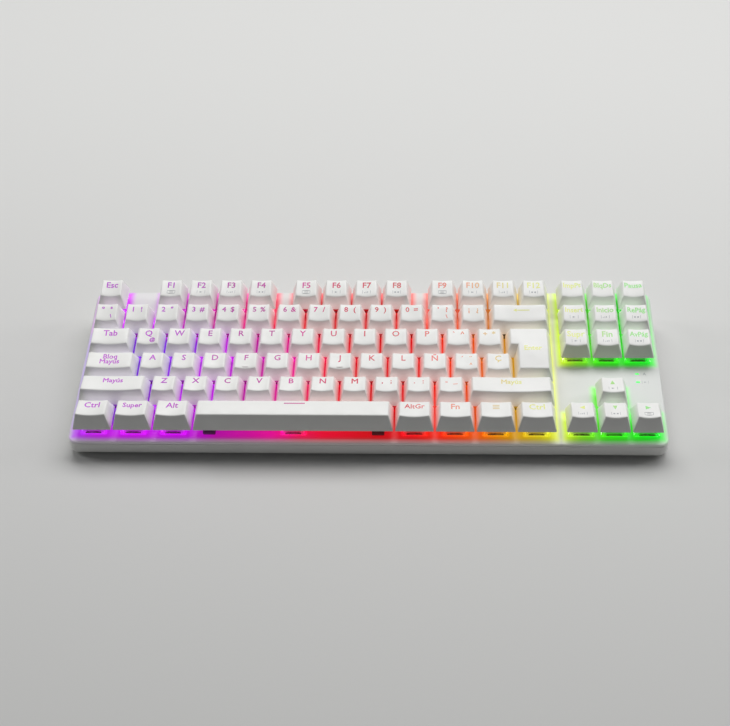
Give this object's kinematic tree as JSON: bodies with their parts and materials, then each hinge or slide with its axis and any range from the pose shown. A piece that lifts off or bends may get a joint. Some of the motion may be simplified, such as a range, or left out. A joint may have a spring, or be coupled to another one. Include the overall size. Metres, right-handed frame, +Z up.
{
  "type": "mechanical keyboard",
  "caption": "Tenkeyless mechanical keyboard with floating sculpted keycaps on a tilted switch plate over a shallow case with flip-out feet.",
  "frame": {"origin": "on the desk under the middle of the keyboard's bounding box", "axes": "+X to the typist's right along the rows, +Y away from the typist, +Z up"},
  "size_m": [0.354, 0.1216, 0.0369],
  "materials": {
    "keycap": "fine satin moulded ABS, lightly textured",
    "case": "satin moulded ABS",
    "plate": "white powder coat on steel",
    "switch_housing": "clear moulded polycarbonate",
    "board": "dark solder mask on glass epoxy",
    "steel": "drawn and plated steel",
    "indicator": "clear light guide, lit green",
    "pad": "moulded silicone rubber"
  },
  "bodies": {
    "base": {"bottom_case": "case", "switch_plate": "plate", "switch_housings": "switch_housing", "circuit_board": "board", "usb_socket": "steel", "indicator_lens": "indicator", "front_left_pad": "pad", "front_right_pad": "pad", "back_left_pad": "pad", "back_right_pad": "pad"},
    "left_foot": {"left_foot": "case"},
    "right_foot": {"right_foot": "case"},
    "space_bar_stabiliser_wire": {"space_bar_stabiliser_wire": "steel"},
    "accent_keys": {"accent_keys": "keycap"},
    "arrow_down": {"arrow_down": "keycap"},
    "arrow_left": {"arrow_left": "keycap"},
    "arrow_right": {"arrow_right": "keycap"},
    "arrow_up": {"arrow_up": "keycap"},
    "backspace": {"backspace": "keycap"},
    "caps_lock": {"caps_lock": "keycap"},
    "enter": {"enter": "keycap"},
    "esc": {"esc": "keycap"},
    "function_keys": {"function_keys": "keycap"},
    "key_a": {"key_a": "keycap"},
    "key_b": {"key_b": "keycap"},
    "key_c": {"key_c": "keycap"},
    "key_d": {"key_d": "keycap"},
    "key_e": {"key_e": "keycap"},
    "key_f": {"key_f": "keycap"},
    "key_g": {"key_g": "keycap"},
    "key_h": {"key_h": "keycap"},
    "key_i": {"key_i": "keycap"},
    "key_j": {"key_j": "keycap"},
    "key_k": {"key_k": "keycap"},
    "key_l": {"key_l": "keycap"},
    "key_m": {"key_m": "keycap"},
    "key_n": {"key_n": "keycap"},
    "key_o": {"key_o": "keycap"},
    "key_p": {"key_p": "keycap"},
    "key_q": {"key_q": "keycap"},
    "key_r": {"key_r": "keycap"},
    "key_s": {"key_s": "keycap"},
    "key_t": {"key_t": "keycap"},
    "key_u": {"key_u": "keycap"},
    "key_v": {"key_v": "keycap"},
    "key_w": {"key_w": "keycap"},
    "key_x": {"key_x": "keycap"},
    "key_y": {"key_y": "keycap"},
    "key_z": {"key_z": "keycap"},
    "left_modifier_keys": {"left_modifier_keys": "keycap"},
    "left_shift": {"left_shift": "keycap"},
    "navigation_keys": {"navigation_keys": "keycap"},
    "number_keys_left": {"number_keys_left": "keycap"},
    "number_keys_right": {"number_keys_right": "keycap"},
    "punctuation_keys": {"punctuation_keys": "keycap"},
    "right_modifier_keys": {"right_modifier_keys": "keycap"},
    "right_shift": {"right_shift": "keycap"},
    "space_bar": {"space_bar": "keycap"},
    "spanish_keys": {"spanish_keys": "keycap"},
    "tab": {"tab": "keycap"}
  },
  "joints": [
    {"name": "accent_keys_travel", "type": "slide", "parent": "base", "child": "accent_keys", "axis": [0, 0.0785, -0.9969], "range_m": [0, 0.004], "stiffness_N_per_m": 220, "springref_m": -0.003},
    {"name": "arrow_down_travel", "type": "slide", "parent": "base", "child": "arrow_down", "axis": [0, 0.0785, -0.9969], "range_m": [0, 0.004], "stiffness_N_per_m": 110, "springref_m": -0.003},
    {"name": "arrow_left_travel", "type": "slide", "parent": "base", "child": "arrow_left", "axis": [0, 0.0785, -0.9969], "range_m": [0, 0.004], "stiffness_N_per_m": 110, "springref_m": -0.003},
    {"name": "arrow_right_travel", "type": "slide", "parent": "base", "child": "arrow_right", "axis": [0, 0.0785, -0.9969], "range_m": [0, 0.004], "stiffness_N_per_m": 110, "springref_m": -0.003},
    {"name": "arrow_up_travel", "type": "slide", "parent": "base", "child": "arrow_up", "axis": [0, 0.0785, -0.9969], "range_m": [0, 0.004], "stiffness_N_per_m": 110, "springref_m": -0.003},
    {"name": "backspace_travel", "type": "slide", "parent": "base", "child": "backspace", "axis": [0, 0.0785, -0.9969], "range_m": [0, 0.004], "stiffness_N_per_m": 110, "springref_m": -0.003},
    {"name": "caps_lock_travel", "type": "slide", "parent": "base", "child": "caps_lock", "axis": [0, 0.0785, -0.9969], "range_m": [0, 0.004], "stiffness_N_per_m": 110, "springref_m": -0.003},
    {"name": "enter_travel", "type": "slide", "parent": "base", "child": "enter", "axis": [0, 0.0785, -0.9969], "range_m": [0, 0.004], "stiffness_N_per_m": 110, "springref_m": -0.003},
    {"name": "esc_travel", "type": "slide", "parent": "base", "child": "esc", "axis": [0, 0.0785, -0.9969], "range_m": [0, 0.004], "stiffness_N_per_m": 110, "springref_m": -0.003},
    {"name": "function_keys_travel", "type": "slide", "parent": "base", "child": "function_keys", "axis": [0, 0.0785, -0.9969], "range_m": [0, 0.004], "stiffness_N_per_m": 1320, "springref_m": -0.003},
    {"name": "key_a_travel", "type": "slide", "parent": "base", "child": "key_a", "axis": [0, 0.0785, -0.9969], "range_m": [0, 0.004], "stiffness_N_per_m": 110, "springref_m": -0.003},
    {"name": "key_b_travel", "type": "slide", "parent": "base", "child": "key_b", "axis": [0, 0.0785, -0.9969], "range_m": [0, 0.004], "stiffness_N_per_m": 110, "springref_m": -0.003},
    {"name": "key_c_travel", "type": "slide", "parent": "base", "child": "key_c", "axis": [0, 0.0785, -0.9969], "range_m": [0, 0.004], "stiffness_N_per_m": 110, "springref_m": -0.003},
    {"name": "key_d_travel", "type": "slide", "parent": "base", "child": "key_d", "axis": [0, 0.0785, -0.9969], "range_m": [0, 0.004], "stiffness_N_per_m": 110, "springref_m": -0.003},
    {"name": "key_e_travel", "type": "slide", "parent": "base", "child": "key_e", "axis": [0, 0.0785, -0.9969], "range_m": [0, 0.004], "stiffness_N_per_m": 110, "springref_m": -0.003},
    {"name": "key_f_travel", "type": "slide", "parent": "base", "child": "key_f", "axis": [0, 0.0785, -0.9969], "range_m": [0, 0.004], "stiffness_N_per_m": 110, "springref_m": -0.003},
    {"name": "key_g_travel", "type": "slide", "parent": "base", "child": "key_g", "axis": [0, 0.0785, -0.9969], "range_m": [0, 0.004], "stiffness_N_per_m": 110, "springref_m": -0.003},
    {"name": "key_h_travel", "type": "slide", "parent": "base", "child": "key_h", "axis": [0, 0.0785, -0.9969], "range_m": [0, 0.004], "stiffness_N_per_m": 110, "springref_m": -0.003},
    {"name": "key_i_travel", "type": "slide", "parent": "base", "child": "key_i", "axis": [0, 0.0785, -0.9969], "range_m": [0, 0.004], "stiffness_N_per_m": 110, "springref_m": -0.003},
    {"name": "key_j_travel", "type": "slide", "parent": "base", "child": "key_j", "axis": [0, 0.0785, -0.9969], "range_m": [0, 0.004], "stiffness_N_per_m": 110, "springref_m": -0.003},
    {"name": "key_k_travel", "type": "slide", "parent": "base", "child": "key_k", "axis": [0, 0.0785, -0.9969], "range_m": [0, 0.004], "stiffness_N_per_m": 110, "springref_m": -0.003},
    {"name": "key_l_travel", "type": "slide", "parent": "base", "child": "key_l", "axis": [0, 0.0785, -0.9969], "range_m": [0, 0.004], "stiffness_N_per_m": 110, "springref_m": -0.003},
    {"name": "key_m_travel", "type": "slide", "parent": "base", "child": "key_m", "axis": [0, 0.0785, -0.9969], "range_m": [0, 0.004], "stiffness_N_per_m": 110, "springref_m": -0.003},
    {"name": "key_n_travel", "type": "slide", "parent": "base", "child": "key_n", "axis": [0, 0.0785, -0.9969], "range_m": [0, 0.004], "stiffness_N_per_m": 110, "springref_m": -0.003},
    {"name": "key_o_travel", "type": "slide", "parent": "base", "child": "key_o", "axis": [0, 0.0785, -0.9969], "range_m": [0, 0.004], "stiffness_N_per_m": 110, "springref_m": -0.003},
    {"name": "key_p_travel", "type": "slide", "parent": "base", "child": "key_p", "axis": [0, 0.0785, -0.9969], "range_m": [0, 0.004], "stiffness_N_per_m": 110, "springref_m": -0.003},
    {"name": "key_q_travel", "type": "slide", "parent": "base", "child": "key_q", "axis": [0, 0.0785, -0.9969], "range_m": [0, 0.004], "stiffness_N_per_m": 110, "springref_m": -0.003},
    {"name": "key_r_travel", "type": "slide", "parent": "base", "child": "key_r", "axis": [0, 0.0785, -0.9969], "range_m": [0, 0.004], "stiffness_N_per_m": 110, "springref_m": -0.003},
    {"name": "key_s_travel", "type": "slide", "parent": "base", "child": "key_s", "axis": [0, 0.0785, -0.9969], "range_m": [0, 0.004], "stiffness_N_per_m": 110, "springref_m": -0.003},
    {"name": "key_t_travel", "type": "slide", "parent": "base", "child": "key_t", "axis": [0, 0.0785, -0.9969], "range_m": [0, 0.004], "stiffness_N_per_m": 110, "springref_m": -0.003},
    {"name": "key_u_travel", "type": "slide", "parent": "base", "child": "key_u", "axis": [0, 0.0785, -0.9969], "range_m": [0, 0.004], "stiffness_N_per_m": 110, "springref_m": -0.003},
    {"name": "key_v_travel", "type": "slide", "parent": "base", "child": "key_v", "axis": [0, 0.0785, -0.9969], "range_m": [0, 0.004], "stiffness_N_per_m": 110, "springref_m": -0.003},
    {"name": "key_w_travel", "type": "slide", "parent": "base", "child": "key_w", "axis": [0, 0.0785, -0.9969], "range_m": [0, 0.004], "stiffness_N_per_m": 110, "springref_m": -0.003},
    {"name": "key_x_travel", "type": "slide", "parent": "base", "child": "key_x", "axis": [0, 0.0785, -0.9969], "range_m": [0, 0.004], "stiffness_N_per_m": 110, "springref_m": -0.003},
    {"name": "key_y_travel", "type": "slide", "parent": "base", "child": "key_y", "axis": [0, 0.0785, -0.9969], "range_m": [0, 0.004], "stiffness_N_per_m": 110, "springref_m": -0.003},
    {"name": "key_z_travel", "type": "slide", "parent": "base", "child": "key_z", "axis": [0, 0.0785, -0.9969], "range_m": [0, 0.004], "stiffness_N_per_m": 110, "springref_m": -0.003},
    {"name": "left_modifier_keys_travel", "type": "slide", "parent": "base", "child": "left_modifier_keys", "axis": [0, 0.0785, -0.9969], "range_m": [0, 0.004], "stiffness_N_per_m": 330, "springref_m": -0.003},
    {"name": "left_shift_travel", "type": "slide", "parent": "base", "child": "left_shift", "axis": [0, 0.0785, -0.9969], "range_m": [0, 0.004], "stiffness_N_per_m": 110, "springref_m": -0.003},
    {"name": "navigation_keys_travel", "type": "slide", "parent": "base", "child": "navigation_keys", "axis": [0, 0.0785, -0.9969], "range_m": [0, 0.004], "stiffness_N_per_m": 990, "springref_m": -0.003},
    {"name": "number_keys_left_travel", "type": "slide", "parent": "base", "child": "number_keys_left", "axis": [0, 0.0785, -0.9969], "range_m": [0, 0.004], "stiffness_N_per_m": 770, "springref_m": -0.003},
    {"name": "number_keys_right_travel", "type": "slide", "parent": "base", "child": "number_keys_right", "axis": [0, 0.0785, -0.9969], "range_m": [0, 0.004], "stiffness_N_per_m": 660, "springref_m": -0.003},
    {"name": "punctuation_keys_travel", "type": "slide", "parent": "base", "child": "punctuation_keys", "axis": [0, 0.0785, -0.9969], "range_m": [0, 0.004], "stiffness_N_per_m": 330, "springref_m": -0.003},
    {"name": "right_modifier_keys_travel", "type": "slide", "parent": "base", "child": "right_modifier_keys", "axis": [0, 0.0785, -0.9969], "range_m": [0, 0.004], "stiffness_N_per_m": 440, "springref_m": -0.003},
    {"name": "right_shift_travel", "type": "slide", "parent": "base", "child": "right_shift", "axis": [0, 0.0785, -0.9969], "range_m": [0, 0.004], "stiffness_N_per_m": 110, "springref_m": -0.003},
    {"name": "space_bar_travel", "type": "slide", "parent": "base", "child": "space_bar", "axis": [0, 0.0785, -0.9969], "range_m": [0, 0.004], "stiffness_N_per_m": 110, "springref_m": -0.003},
    {"name": "spanish_keys_travel", "type": "slide", "parent": "base", "child": "spanish_keys", "axis": [0, 0.0785, -0.9969], "range_m": [0, 0.004], "stiffness_N_per_m": 330, "springref_m": -0.003},
    {"name": "tab_travel", "type": "slide", "parent": "base", "child": "tab", "axis": [0, 0.0785, -0.9969], "range_m": [0, 0.004], "stiffness_N_per_m": 110, "springref_m": -0.003},
    {"name": "left_foot_hinge", "type": "hinge", "parent": "base", "child": "left_foot", "pos_m": [-0.14303, 0.0487, 0.0036], "axis": [1, 0, 0], "range_deg": [0, 90]},
    {"name": "right_foot_hinge", "type": "hinge", "parent": "base", "child": "right_foot", "pos_m": [0.14303, 0.0487, 0.0036], "axis": [1, 0, 0], "range_deg": [0, 90]},
    {"name": "space_bar_wire_hinge", "type": "hinge", "parent": "base", "child": "space_bar_stabiliser_wire", "pos_m": [-0.04286, -0.03844, 0.01436], "axis": [1, 0, 0], "range_deg": [0, 30]}
  ],
  "couplings": [
    {"joint": "space_bar_wire_hinge", "follows": "space_bar_travel", "rad_per_m": 130.3}
  ]
}
